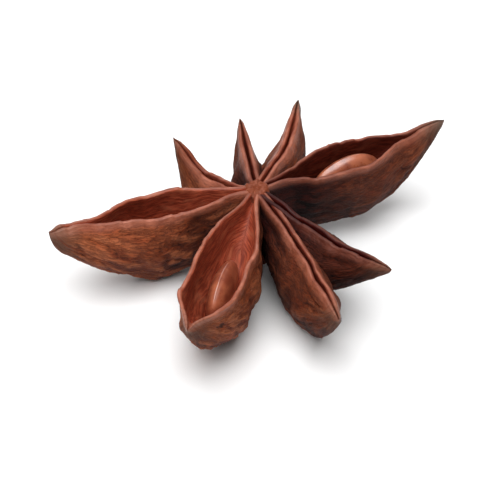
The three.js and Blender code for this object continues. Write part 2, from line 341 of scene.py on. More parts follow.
def limb(c, s, along, side, counts):
    """One side of all sections, from the keel's neighbour to the floor's: y, z and what each point is.

    The folds on the flank are sines that slant over it and fade as sin(pi h). The rim is half an
    ellipse as wide as the lip. height is 0 at the keel and 1 from the lip on, inside is 0 on the
    flank and 1 in the cavity.
    """
    flank_h = (np.arange(1, counts["flank"] + 1)[None, :] / counts["flank"]) ** KEEL_CROWDING
    rim_angle = np.linspace(0, np.pi, counts["rim"] + 2)[None, 1:-1]
    lining_g = (1 - np.arange(counts["lining"])[None, :] / counts["lining"]) ** FLOOR_CROWDING

    phase = c["azimuth"] / FOLD_DEGREES + FOLD_SIDE * side
    waves = sum(
        share * np.sin(2 * np.pi * (along / spacing + slant * flank_h + turns * phase))
        for share, spacing, slant, turns in FOLDS
    )
    fold = FOLD_HEIGHT * np.minimum(s["half"] / FOLD_FULL, 1) * np.sin(np.pi * flank_h) * waves

    y_flank = flank(s, flank_h) + fold
    z_flank = s["top"] - s["depth"] * (1 - flank_h)
    y_rim = s["gap"] + s["lip"] * (1 + np.cos(rim_angle)) / 2
    z_rim = s["top"] + RIM_RISE * s["lip"] * np.sin(rim_angle)
    y_lining = lining(s, lining_g)
    z_lining = s["top"] - s["hollow"] * (1 - lining_g)

    rows = np.ones_like(along)
    height = np.hstack([flank_h, np.ones_like(rim_angle), np.ones_like(lining_g)]) * rows
    turned_in = (1 - np.cos(rim_angle)) / 2
    inside = np.hstack([np.zeros_like(flank_h), turned_in, np.ones_like(lining_g)]) * rows
    y = np.hstack([y_flank, y_rim, y_lining])
    z = np.hstack([z_flank, z_rim, z_lining])
    return side * y, z, height, inside


# %% The grid of one carpel
FULL_FLANK, LEAST_FLANK, LEAST_LINING = 9.0, 0.4, 5.0  # a length, a share of it, and mm


def stretched_round(y, z, columns):
    """How far round its section each point is: 0 at the keel, FULL_FLANK at the lip, 0 at the floor.

    It is negative on the side of -Y. A flank's own length counts as at least LEAST_FLANK of
    FULL_FLANK, and the way from lip to floor as at least LEAST_LINING mm, so a groove ends half-way.
    """
    middle = y.shape[1] // 2
    step = np.hypot(np.diff(y, axis=1, append=y[:, :1]), np.diff(z, axis=1, append=z[:, :1]))
    from_left = np.hstack([np.zeros((len(y), 1)), np.cumsum(step, axis=1)[:, :-1]])
    from_right = np.cumsum(step[:, ::-1], axis=1)[:, ::-1]
    on_left = np.arange(y.shape[1])[None, :] <= middle
    walked = np.where(on_left, from_left, from_right)
    to_lip, to_floor = walked[:, columns : columns + 1], walked[:, middle : middle + 1]
    flank_scale = FULL_FLANK / np.maximum(to_lip, LEAST_FLANK * FULL_FLANK)
    inward = np.clip((walked - to_lip) / np.maximum(to_floor - to_lip, LEAST_LINING), 0, 1)
    return np.minimum(walked, to_lip) * flank_scale * (1 - inward) * np.where(on_left, 1, -1)


def carpel_grid(c, step, counts):
    """Points x, y, z of a carpel that lies along +X, with height, inside, and round for each.

    The sections are a step apart, and crowd towards the tip by CROWDING sin(pi share).
    """
    end = c["length"] * (1 - TIP_GAP)
    share = np.linspace(0, 1, int(math.ceil((end - START) / step)) + 1)[:, None]
    along = np.minimum(START + (end - START) * (share + CROWDING * np.sin(np.pi * share)), end)
    s = stations(c, along)
    left, right = (limb(c, s, along, side, counts) for side in (1, -1))
    keel = (0 * along, s["top"] - s["depth"], 0 * along, 0 * along)
    floor = (0 * along, s["top"] - s["hollow"], 1 + 0 * along, 1 + 0 * along)
    y, z, height, inside = (
        np.hstack([k, a, f, b[:, ::-1]]) for k, a, f, b in zip(keel, left, floor, right)
    )
    round_ = stretched_round(y, z, counts["flank"])
    y = y + c["sway"] * np.sin(np.pi * along / c["length"])
    return {
        "x": along + 0 * y,
        "y": y,
        "z": z,
        "height": height,
        "inside": inside,
        "round": round_,
        "s": s,
    }


STEP = 0.165  # mm between sections
OPEN_COUNTS = {"flank": 34, "rim": 7, "lining": 26}  # points on each side of a section
grid = carpel_grid(CARPELS["left"], STEP, OPEN_COUNTS)
print("left carpel's grid:", grid["x"].shape)

# %% [markdown]
# ## Wrinkles that are really there
#
# As a carpel dries, its skin shrinks on a frame of fibres and buckles. On the flanks it makes long
# rounded ridges with narrow creases between them, slanting up towards the tip. The absolute value of
# a noise has just that shape: smooth hills, and a sharp valley wherever the noise crosses zero. On
# the keel the skin sinks between a net of raised veins, which a pattern of cells gives. The rim is
# smooth, but it wanders and is nicked here and there.

# %% Relief of the bark
# Three numbers together are a spacing along the carpel, a spacing round it and a height, all in mm.
SLANT = math.radians(14)
WRINKLES = ((2.6, 0.95, 0.22), (1.4, 0.52, 0.14), (0.7, 0.28, 0.055))
CREST_CURVE, CREASE = 0.8, 0.35  # power that shapes a hill, and depth of the crease beside it
BEND_ALONG, BEND_ROUND = (2.4, 1.9, 0.7), (3.3, 2.6, 0.6)
CALM_ALONG, CALM_ROUND, CALM_LEAST = 4.0, 3.0, 0.4  # calm patches, and the wrinkles left in them
NET_ALONG, NET_ROUND, NET_HEIGHT = 1.9, 1.05, 0.08
NET_ON_FLANK, NET_LOW = 0.2, 0.3  # share of the net above the keel, and what lies below the old skin
DENTS = (3.2, 3.2, 0.16)
FURROW_DROP, FURROW_WIDTH, FURROW_DEPTH = 0.95, 0.35, 0.10
LEVEL_SPAN = 0.22  # height of a wrinkle from crease to crest

# Where the relief comes and goes. Pairs are the start and end of a fade.
THIN, CLEAR_OF_COLUMN = 1.3, (0.5, 3.0)  # half width and distance along, in mm
TURNED_IN = (0.02, 0.3)  # how far round the rim
NEAR_RIM, LEFT_AT_RIM = (0.82, 0.95), 0.2  # height as a share, and share of the relief left there
KEEL_END, DENTLESS = (0.25, 0.62), (0.0, 0.2)  # heights as shares


def slow_noise(size, x, q, seed):
    """A noise of the distances along and round, of a spacing along, a spacing round and a height."""
    along, around, tall = size
    return tall * noise(x / along, q / around, seed=seed)


def bark_relief(c, g):
    """Height in mm, and how far each point is up a wrinkle, from 0 in a crease to 1 on a crest.

    Layers of wrinkles of height (|n|^CREST_CURVE - CREASE), the net on the keel, dents and a furrow
    under the rim add up. n is a noise of the distances along and round, bent by a slow noise and
    turned by the slant. Each noise has a seed of its own, the carpel's number plus a fixed one.
    """
    x, q, h, half = g["x"], g["round"], g["height"], g["s"]["half"]
    seed = c["seed"]
    side = np.where(q < 0, -1, 1)
    bent_q = q + slow_noise(BEND_ROUND, x, q, seed + 70)
    bent_x = x + slow_noise(BEND_ALONG, x, q, seed + 71)
    across = bent_q * math.cos(SLANT) - side * bent_x * math.sin(SLANT)

    outside = 1 - ease(*TURNED_IN, g["inside"])
    clear = ease(*CLEAR_OF_COLUMN, x)
    below_rim = 1 - (1 - LEFT_AT_RIM) * ease(*NEAR_RIM, h)
    fade = outside * below_rim * np.minimum(half / THIN, 1) * clear
    calm = ease(-0.5, 0.5, noise(x / CALM_ALONG, q / CALM_ROUND, seed=seed + 90))
    amount = CALM_LEAST + (1 - CALM_LEAST) * calm
    wrinkles = 0.0
    for i, (along, spacing, height) in enumerate(WRINKLES):
        n = np.abs(noise(bent_x / along, across / spacing, seed=seed + 11 * i + 5))
        wrinkles = wrinkles + height * amount * (n**CREST_CURVE - CREASE)

    keel = 1 - ease(*KEEL_END, h)
    net = cell_walls(bent_x / NET_ALONG, bent_q / NET_ROUND, seed=seed + 17) - NET_LOW
    wrinkles = (wrinkles + NET_HEIGHT * (NET_ON_FLANK + (1 - NET_ON_FLANK) * keel) * net) * fade
    dents = slow_noise(DENTS, x, q, seed + 40) * fade * ease(*DENTLESS, h)
    under_rim = ((1 - h) * g["s"]["depth"] - FURROW_DROP) / FURROW_WIDTH
    furrow = FURROW_DEPTH * np.exp(-(under_rim**2)) * outside * np.minimum(half, 1) * clear
    return wrinkles + dents - furrow, np.clip(0.5 + wrinkles / LEVEL_SPAN, 0, 1)


relief, level = bark_relief(CARPELS["left"], grid)
print("relief runs from", round(float(relief.min()), 3), "to", round(float(relief.max()), 3), "mm")

# %% [markdown]
# ## Rims that wander
#
# The split edge of a real carpel tore open along a seam and then dried, so it is never a clean curve.
# Small shifts of the rim, sideways and up, give that. They are kept apart from the bark's relief,
# because that moves points along the surface's normal, which would make the rim thicker and thinner.

# %% Wandering rims
SHARED_SWAY, OWN_SWAY = (3.4, 0.09), (1.8, 0.07)  # spacing along the rim and amount, in mm
RISE, FINE_RISE = (1.7, 0.09), (0.45, 0.03)
NICK, NICK_PEAK = (0.9, 0.12), (0.45, 0.75)  # the second is the noise over which a nick deepens
RIM_ZONE, RIM_THIN, RIM_CLEAR = (0.72, 1.0), 1.2, (1.0, 4.0)  # height as a share, half width, distance
LIPS_APART = 3.0  # cells of noise between one lip and the other


def wander(c, g):
    """Sideways and upward shifts of the rim in mm: slow noises of the distance along, and nicks.

    The lips share one sway, and each has a sway and a rise of its own. A nick is where a noise peaks.
    """
    x, h, seed = g["x"], g["height"], c["seed"]
    side = np.where(g["round"] < 0, LIPS_APART, 0.0)

    def along_rim(size, across, extra):
        spacing, amount = size
        return amount * noise(x / spacing, across, seed=seed + extra)

    near_rim = ease(*RIM_ZONE, h) * np.minimum(g["s"]["half"] / RIM_THIN, 1) * ease(*RIM_CLEAR, x)
    sideways = along_rim(SHARED_SWAY, 0.5, 51) + along_rim(OWN_SWAY, side, 52) * g["s"]["opened"]
    upward = along_rim(RISE, side, 53) + along_rim(FINE_RISE, side, 54)
    nick_spacing, nick_depth = NICK
    nick = nick_depth * ease(*NICK_PEAK, noise(x / nick_spacing, side, seed=seed + 55))
    return near_rim * sideways, near_rim**2 * (upward - nick)


def push_out(g, relief, shift):
    """Moves each point along its normal, then by the shift.

    The normal is the cross product of the grid's two tangents.
    """
    p = np.stack([g["x"], g["y"], g["z"]], axis=-1)
    round_tangent = np.roll(p, -1, axis=1) - np.roll(p, 1, axis=1)
    normal = np.cross(round_tangent, np.gradient(p, axis=0))
    normal /= np.linalg.norm(normal, axis=-1, keepdims=True) + 1e-9
    p = p + normal * relief[..., None]
    p[..., 1] += shift[0]
    p[..., 2] += shift[1]
    return p


shift = wander(CARPELS["left"], grid)
print("rims wander by up to", round(float(np.abs(shift[0]).max()), 3), "mm")

# %% [markdown]
# ## What the shader has to know
#
# The material is one for the whole pod, so each point says what it belongs to. One colour attribute
# carries four masks: lip, lining, height of the wrinkles, and nearness to a weathered tip. One vector
# holds the distances along and round, for the grain. Another holds the shares of the length and the
# depth, and where the wood of knob and scar is bare. A number says how much painted shade darkens
# the carpel, partly a darker bark. All are stored for each corner of each face, because a Boolean
# keeps corner values true on either side of the line where two carpels meet.

# %% Masks and mesh
LIP_FADE = 0.38  # mm below the rim
RIM_TURN, LINING_TURN = (0.55, 1.0), (0.45, 0.95)  # how far round the rim the lip ends, the lining starts
TIP_SHARE = 0.8  # share of the length where weathering starts


def carpel_masks(c, g, level):
    """lip: 1 on the rim, fading as exp(-d^2) below it. lining: 1 inside. tip: grows to the end.

    The level of the wrinkles passes through.
    """
    from_lip = (1 - g["height"]) * g["s"]["depth"]
    lip = np.exp(-((from_lip / LIP_FADE) ** 2)) * (1 - ease(*RIM_TURN, g["inside"]))
    inner = ease(*LINING_TURN, g["inside"])
    tip = ease(TIP_SHARE, 1.0, g["s"]["u"] + 0 * g["x"]) * c["grey"]
    return np.stack([lip, inner, level, tip], axis=-1)


def new_piece(name, points, faces):
    """A mesh object at the origin, from points in mm and faces as lists of point numbers."""
    mesh = bpy.data.meshes.new(name)
    mesh.from_pydata((points * MM).tolist(), [], faces)
    mesh.update()
    piece = bpy.data.objects.new(name, mesh)
    bpy.context.scene.collection.objects.link(piece)
    return piece


def store(mesh, name, kind, field, values):
    """Puts one row of values for each point into an attribute that belongs to the corners."""
    corner_point = np.empty(len(mesh.loops), np.int32)
    mesh.loops.foreach_get("vertex_index", corner_point)
    attribute = mesh.attributes.new(name, kind, "CORNER")
    attribute.data.foreach_set(field, values[corner_point].astype(np.float32).ravel())


def paint(piece, masks, grain, place, shade):
    """Stores the four attributes that the bark reads, in rows for the grid's points and the two ends."""
    store(piece.data, "masks", "FLOAT_COLOR", "color", masks)
    store(piece.data, "grain", "FLOAT_VECTOR", "vector", grain)
    store(piece.data, "place", "FLOAT_VECTOR", "vector", place)
    store(piece.data, "shade", "FLOAT", "value", np.full(len(place), shade))


def closed_grid(p, ends):
    """Points and faces of a tube whose rows are rings, closed at both ends by a fan to an end point."""
    rows, columns = p.shape[:2]
    number = np.arange(rows * columns).reshape(rows, columns)
    following = np.roll(number, -1, axis=1)
    quads = np.stack([number[:-1], following[:-1], following[1:], number[1:]], axis=-1).reshape(-1, 4)
    first, last = rows * columns, rows * columns + 1
    start_fan = np.stack([following[0], number[0], np.full(columns, first)], axis=-1)
    end_fan = np.stack([number[-1], following[-1], np.full(columns, last)], axis=-1)
    return np.vstack([p.reshape(-1, 3), ends]), quads.tolist() + start_fan.tolist() + end_fan.tolist()


def turn(points, degrees):
    """Points turned about the column's axis."""
    a = math.radians(degrees)
    return points @ np.array([[math.cos(a), math.sin(a), 0], [-math.sin(a), math.cos(a), 0], [0, 0, 1]])


print("attributes for each corner: masks, grain, place, shade")

# %% [markdown]
# ## One whole carpel
#
# A pod rests on the lowest spots of its keels, which wear a little flat. The three deepest keels and
# a little of the relief reach under the table here, so a smooth floor function lifts those points to
# it. Cutting the mesh with a plane would do as well, but it would leave a hard edge and new points
# without masks.

# %% A carpel as a mesh
SINK = 0.3  # mm by which the inner end of a rim dips under the knob
SOFT_LANDING = 0.04  # mm over which a keel flattens onto the table
GRAIN_APART = 7.0  # sets the grain of one carpel apart from the next

# What the shader is told at the two end points: masks, then shares of length and depth and bare wood.
COLUMN_END, COLUMN_END_PLACE = (0, 0, 0.5, 0), (0, 0.5, 0)
TIP_END, TIP_END_PLACE = (0.2, 0, 0.5), (1, 0.9, 0)


def carpel_piece(name, c, step, counts):
    """One carpel as a closed mesh with its masks, turned to its place, with no point under height 0.

    Points under the table come up to it by (z + sqrt(z^2 + SOFT_LANDING^2)) / 2.
    """
    g = carpel_grid(c, step, counts)
    relief, level = bark_relief(c, g)
    p = push_out(g, relief, wander(c, g))
    p[..., 2] -= SINK * (1 - ease(START, COLUMN_RADIUS, g["x"])) * g["height"]
    p[..., 2] = (p[..., 2] + np.sqrt(p[..., 2] ** 2 + SOFT_LANDING**2)) / 2
    ends = np.stack([p[0].mean(axis=0), p[-1].mean(axis=0)])
    points, faces = closed_grid(p, ends)
    piece = new_piece(name, turn(points, c["azimuth"]), faces)
    masks = carpel_masks(c, g, level).reshape(-1, 4)
    grain = np.stack([g["x"], g["round"], c["seed"] * GRAIN_APART + 0 * g["x"]], axis=-1).reshape(-1, 3)
    place = np.stack([g["s"]["u"] + 0 * g["x"], g["height"], 0 * g["x"]], axis=-1).reshape(-1, 3)
    paint(
        piece,
        np.vstack([masks, COLUMN_END, (*TIP_END, c["grey"])]),
        np.vstack([grain, grain[0], grain[-1]]),
        np.vstack([place, COLUMN_END_PLACE, TIP_END_PLACE]),
        c["shade"],
    )
    return piece


lowest = {name: carpel_grid(c, STEP, OPEN_COUNTS)["z"].min() for name, c in CARPELS.items()}
print("lowest points before landing, in mm:", {k: round(float(z), 2) for k, z in lowest.items()})

# %% [markdown]
# ## The column and the stalk scar
#
# The column is a turned shape: a knob with a dimple where the eight seams meet on top, a waist, the
# seat of the carpels, and the stump of the stalk with its flat broken end underneath. A lathe profile
# gives it. A slow noise, small lumps and the seams that run on over the knob take the machine-made
# look away.

# %% Column sizes in millimetres
KNOB_TOP = LIP_HEIGHT + KNOB_RISE
STUMP = ((0.5, 0.0), (1.0, 0.0), (1.06, 0.3), (0.9, 0.9))  # share of the scar's radius, height
SEAT = ((2.0, 1.9), (2.1, 2.8))  # radius, height
WAIST_HEIGHT = 4.5
KNOB = ((1.0, 0.45), (0.8, 0.1), (0.5, 0.0), (0.25, 0.1), (0.08, 0.2))  # share of the radius, drop
COLUMN_PROFILE = (
    *((SCAR_RADIUS * share, height) for share, height in STUMP),
    *SEAT,
    (COLUMN_RADIUS, WAIST_HEIGHT),
    *((COLUMN_RADIUS * share, KNOB_TOP - drop) for share, drop in KNOB),
)
ROUGH = ((0.07, 3, 1.1), (0.03, 8, 0.5))  # share of the radius, features round, spacing in height
LUMPS = ((0.16, 0.55), (0.06, 0.22))  # height, spacing
SEAM_WIDTH, SEAM_DEPTH = math.radians(7), 0.13
SEAM_LEVEL, SEAM_VARIES, SEAM_APART = 0.6, 0.4, 1.7  # strength, its change, and cells of noise apart
CROWN, SEAMS_BEGIN, ROUGH_BEGINS = (7.4, 7.9), (0.1, 0.6), (0.1, 0.5)  # a height, a radius, a height

# What the shader is told about the column. Spans are heights, and a share goes with each.
LIP_SPAN, CROWN_BARE, SCAR_BARE = (6.5, 7.6), (7.0, 7.8), (0.05, 0.25)
LIP_SHARE, CROWN_SHARE, SCAR_SHARE = 0.8, 0.8, 0.6
# An outward share this low gives the column the painted shade of the parts near it.
SEAM_SHADE, COLUMN_OUTWARD = 0.35, 0.15
GRAIN_SCALE, GRAIN_LIFT = 1.5, 60
SCAR_END, DIMPLE_END = (0, 0, 0.4, 0), (0.3, 0, 0.2, 0)
print("profile of", len(COLUMN_PROFILE), "points, from the scar to the dimple")


# %% Column
def seams(angle):
    """1 where a carpel's seam runs, falling as exp(-(angle / SEAM_WIDTH)^2), and a little uneven."""
    deepest = np.zeros_like(angle)
    for c in CARPELS.values():
        away = np.mod(angle - math.radians(c["azimuth"]) + np.pi, 2 * np.pi) - np.pi
        strength = SEAM_LEVEL + SEAM_VARIES * float(noise(c["seed"] * SEAM_APART, 0.5, seed=14))
        deepest = np.maximum(deepest, strength * np.exp(-((away / SEAM_WIDTH) ** 2)))
    return deepest


def column_piece(turns=144, rows=150):
    """The profile is walked at even steps of its own length and turned round the axis.

    Two noises make it rough. On the crown the seams and two noises of lumps lower it.
    """
    profile = np.array(COLUMN_PROFILE)
    walked = np.concatenate([[0], np.cumsum(np.hypot(*np.diff(profile, axis=0).T))])
    at = np.linspace(0, walked[-1], rows)
    radius, height = (np.interp(at, walked, profile[:, k])[:, None] for k in (0, 1))
    angle = np.linspace(0, 2 * np.pi, turns, endpoint=False)[None, :]
    rough = sum(
        share * noise(features * np.cos(angle), features * np.sin(angle), height / spacing, seed=seed)
        for seed, (share, features, spacing) in enumerate(ROUGH, start=8)
    )
    wide = radius * (1 + rough * ease(*ROUGH_BEGINS, height))
    x, y = wide * np.cos(angle), wide * np.sin(angle)
    crown = ease(*CROWN, height)
    seam = crown * ease(*SEAMS_BEGIN, wide) * seams(angle)
    lumps = crown * sum(
        tall * noise(x / spacing, y / spacing, seed=seed)
        for seed, (tall, spacing) in enumerate(LUMPS, start=12)
    )
    p = np.stack([x, y, height - SEAM_DEPTH * seam - lumps], axis=-1)
    points, faces = closed_grid(p, np.array([[0, 0, 0], [0, 0, p[-1, :, 2].mean()]]))
    piece = new_piece("star_anise_pod", points, faces)

    flat = 0 * wide
    lip = LIP_SHARE * ease(*LIP_SPAN, height) + flat
    level = 0.5 - SEAM_SHADE * seam + lumps
    scar = 1 - ease(*SCAR_BARE, height)
    bare = CROWN_SHARE * ease(*CROWN_BARE, height) + SCAR_SHARE * scar + flat
    masks = np.stack([lip, flat, level, flat], axis=-1).reshape(-1, 4)
    grain = np.stack([GRAIN_SCALE * x, GRAIN_SCALE * y, GRAIN_LIFT + height + flat], axis=-1)
    grain = grain.reshape(-1, 3)
    place = np.stack([COLUMN_OUTWARD + flat, height / LIP_HEIGHT + flat, bare], axis=-1).reshape(-1, 3)
    paint(
        piece,
        np.vstack([masks, SCAR_END, DIMPLE_END]),
        np.vstack([grain, grain[0], grain[-1]]),
        np.vstack([place, place[0], place[-1]]),
        0.0,
    )
    return piece


pod = column_piece()
print("column:", len(pod.data.polygons), "faces")

# %% [markdown]
# ## Joining everything into one skin
#
# Near the column the boats press into each other. Left as nine loose shells they would look right from
# outside, but a printed or measured model would hold walls inside walls. One Boolean union with the
# Manifold solver makes a single closed skin in under a second and keeps the corner attributes.

# %% Union
SMALL_COUNTS = {"flank": 24, "rim": 5, "lining": 12}
SHUT_COUNTS = {"flank": 40, "rim": 7, "lining": 6}
SMALL_LENGTH = 12  # mm
CREASE_ANGLE = math.radians(62)  # sharper edges, as where two carpels meet, aren't shaded smooth


def counts_for(c):
    """How many points a section gets: more where the carpel is large or open."""
    if c["length"] < SMALL_LENGTH:
        return SMALL_COUNTS
    return OPEN_COUNTS if c["gape"] > 0 else SHUT_COUNTS


shells = bpy.data.collections.new("shells")
bpy.context.scene.collection.children.link(shells)
for name, c in CARPELS.items():
    shell = carpel_piece("shell_" + name, c, STEP, counts_for(c))
    bpy.context.scene.collection.objects.unlink(shell)
    shells.objects.link(shell)

join = pod.modifiers.new("join", "BOOLEAN")
join.operation, join.solver = "UNION", "MANIFOLD"
join.operand_type, join.collection = "COLLECTION", shells
joined = bpy.data.meshes.new_from_object(pod.evaluated_get(bpy.context.evaluated_depsgraph_get()))
pod.modifiers.clear()
pod.data = joined
for shell in list(shells.objects):
    bpy.data.objects.remove(shell)
bpy.data.collections.remove(shells)
joined.shade_smooth()
joined.set_sharp_from_angle(angle=CREASE_ANGLE)
triangles = sum(len(p.vertices) - 2 for p in joined.polygons)
print("joined skin:", triangles, "triangles")

# %% [markdown]
# ## Seeds
#
# A star anise seed is a flattened egg, polished like a chestnut, with a small pale scar at the end
# that faced the column and a fine raised line round its edge. A UV sphere scaled three ways would do
# for a distant view; here the grid is bent a little so that one end is blunter.

# %% Seed shapes
SEED_LENGTH, SEED_THICKNESS, SEED_HEIGHT = 7.0, 2.2, 4.7
SEEDS = {  # carpel, distance along it, height, pitch in degrees
    "seed_right": ("right", 9.4, 5.3, -5),
    "seed_front_left": ("front_left", 10.8, 4.5, 5),
}
BLUNTNESS = 0.07
RIDGE_HEIGHT, RIDGE_WIDTH = 0.035, 0.09
DIMPLE_DEPTH, DIMPLE_WIDTH, SCAR_WIDTH = 0.05, 0.16, 0.2


def seed_piece(name, carpel, along, height, pitch, rows=64, turns=96):
    """An ellipsoid of the seed's half sizes; t runs from its outer end to its inner one.

    Its outer end is fuller by (1 + BLUNTNESS cos t), the edge has a ridge, the inner end a dimple.
    """
    c = CARPELS[carpel]
    t = np.linspace(0, np.pi, rows + 2)[1:-1, None]
    a = np.linspace(0, 2 * np.pi, turns, endpoint=False)[None, :]
    full = np.sin(t) * (1 + BLUNTNESS * np.cos(t))
    ridge = 1 + RIDGE_HEIGHT * np.exp(-((np.abs(np.cos(a)) / RIDGE_WIDTH) ** 2)) * np.sin(t)
    dimple = 1 - DIMPLE_DEPTH * np.exp(-(((np.pi - t) / DIMPLE_WIDTH) ** 2))
    x = SEED_LENGTH / 2 * np.cos(t) * dimple + 0 * a
    y = SEED_THICKNESS / 2 * full * np.cos(a)
    z = SEED_HEIGHT / 2 * full * np.sin(a) * ridge
    p = np.stack([x, y, z], axis=-1)[::-1]
    scar = np.exp(-(((np.pi - t[::-1]) / SCAR_WIDTH) ** 2)) + 0 * a
    lean = math.radians(pitch)
    tilt = np.array([[math.cos(lean), 0, -math.sin(lean)], [0, 1, 0], [math.sin(lean), 0, math.cos(lean)]])
    points, faces = closed_grid(p, np.array([p[0].mean(axis=0), p[-1].mean(axis=0)]))
    place = np.array([along, c["sway"] * math.sin(math.pi * along / c["length"]), height])
    piece = new_piece(name, turn(points @ tilt + place, c["azimuth"]), faces)
    store(piece.data, "scar", "FLOAT", "value", np.concatenate([scar.ravel(), [1.0, 0.0]]))
    piece.data.shade_smooth()
    return piece


seeds = {name: seed_piece(name + "_polished", *where) for name, where in SEEDS.items()}
for name, piece in seeds.items():
    low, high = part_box(name)
    mine = np.array([v.co for v in piece.data.vertices])
    gaps = np.abs(np.concatenate([mine.min(0) - low, mine.max(0) - high])) / MM
    print(name, "off its solid by at most", gaps.max().round(3), "mm")

# %% [markdown]
# ## Shader maths as plain expressions
#
# A material of many masks is hard to follow as a web of nodes. This small class wraps a socket, so
# that `1 - mask * 0.5` adds its Math nodes by itself, and one method makes any other node from its
# settings and inputs.

# %% A class for sockets
class Wire:
    """A value in a material: a socket with arithmetic on it."""

    def __init__(self, tree, socket):
        self.tree, self.socket = tree, socket

    def node(self, kind, settings=None, output=0, **inputs):
        """Makes a node of a kind, sets its settings, then its inputs by name (or in_0, in_1 by place)."""
        made = self.tree.nodes.new(kind)
        for key, value in (settings or {}).items():
            setattr(made, key, value)
        for key, value in inputs.items():
            place = int(key[3:]) if key.startswith("in_") else key.replace("_", " ").title()
            target = made.inputs[place]
            if isinstance(value, Wire):
                self.tree.links.new(value.socket, target)
            else:
                target.default_value = value
        return Wire(self.tree, made.outputs[output])

    def maths(self, operation, other=0.0, swap=False):
        """A Math node on this value and another one, with this one second where swap is set."""
        first, second = (other, self) if swap else (self, other)
        return self.node("ShaderNodeMath", {"operation": operation}, in_0=first, in_1=second)

    def __add__(self, other):
        return self.maths("ADD", other)

    def __mul__(self, other):
        return self.maths("MULTIPLY", other)

    def __sub__(self, other):
        return self.maths("SUBTRACT", other)

    def __rsub__(self, other):
        return self.maths("SUBTRACT", other, swap=True)

    __radd__, __rmul__ = __add__, __mul__

    def between(self, low, high):
        """0 at low, 1 at high, smooth between them."""
        settings = {"interpolation_type": "SMOOTHSTEP"}
        return self.node("ShaderNodeMapRange", settings, in_0=self, in_1=low, in_2=high)

    def mix(self, first, second, blend="MIX"):
        """first where this value is 0, second where it is 1. Colours are tuples or wires."""
        settings = {"data_type": "RGBA", "blend_type": blend}
        return self.node("ShaderNodeMix", settings, output=2, in_0=self, in_6=first, in_7=second)

    def tint(self, colour, multiplier):
        """The colour where this value is 0, the colour times the stain where it is 1."""
        return self.mix(colour, multiplier, blend="MULTIPLY")


def srgb(red, green, blue):
    """A colour given as it looks on a screen, from 0 to 255, as the linear values that a shader wants.

    Of a share v it is ((v + 0.055) / 1.055)^2.4, or v / 12.92 where v is up to 0.04.
    """
    shares = [v / 255 for v in (red, green, blue)]
    linear = [((v + 0.055) / 1.055) ** 2.4 if v > 0.04 else v / 12.92 for v in shares]
    return (*linear, 1.0)


def new_material(name):
    """A material with a Principled shader: the material, a wire to make nodes with, and the shader."""
    material = bpy.data.materials.new(name)
    material.use_nodes = True
    tree = material.node_tree
    shader = next(n for n in tree.nodes if n.type == "BSDF_PRINCIPLED")
    return material, Wire(tree, None), shader


print("a mid grey of 128 is", round(srgb(128, 128, 128)[0], 3), "to a shader")

# %% [markdown]
# ## Bark, lips and lining
#
# The pod's colour comes in layers, from the largest to the smallest: a brown that drifts from place
# to place, with painted shade near the column and the keel and painted light on the upper flank, a
# dusty violet bloom, fibres drawn out along each carpel, painted light on crests and creases darkened
# partly by painted shade, then the tan lips, the redder polished lining, painted shade over the darker
# carpels, and grey tips. The relief is already in the mesh, so the bump only adds the fine grain that
# is smaller than a face.

# %% Colours of the pod
# Near the column the bark is darker by painted shade.
BARK_SHADED_INNER = (srgb(52, 18, 11), srgb(92, 38, 22))  # near the column, dark and light
BARK_OUTER = (srgb(90, 38, 23), srgb(142, 72, 41))  # near the tip, dark and light
# Painted light on the upper flank under the lip, and painted shade low on the flank by the keel.
LIT_UPPER_FLANK, KEEL_SHADE = srgb(144, 73, 40), srgb(62, 23, 14)
BLOOM, RUST = srgb(62, 27, 24), srgb(150, 68, 34)
FIBRE_DARK, FIBRE_LIGHT = srgb(54, 20, 12), srgb(160, 88, 54)
# Crests take painted light, partly paler ridges; veins and creases take a dark colour that is partly
# painted shade.
SPECK, CREST = srgb(50, 18, 11), srgb(166, 94, 60)
VEIN, CREASE_SHADE = srgb(48, 17, 10), srgb(30, 10, 6)
LINING = (srgb(122, 49, 32), srgb(176, 84, 57))
LINING_PALE = srgb(184, 108, 78)
RIM = (srgb(128, 68, 50), srgb(170, 102, 80))
# Painted shade multiplies the colour by this dark colour.
PAINTED_SHADE_COLOUR = srgb(96, 54, 54)
BARE_WOOD, TIP_TAN, TIP_GREY = srgb(114, 51, 25), srgb(110, 78, 60), srgb(84, 74, 66)
SPECULAR, COAT_ROUGHNESS = 0.14, 0.38
BUMP_STRENGTH, BUMP_DEPTH = 0.8, 0.18 * MM
print("the darkest brown is", [round(v, 4) for v in CREASE_SHADE[:3]])


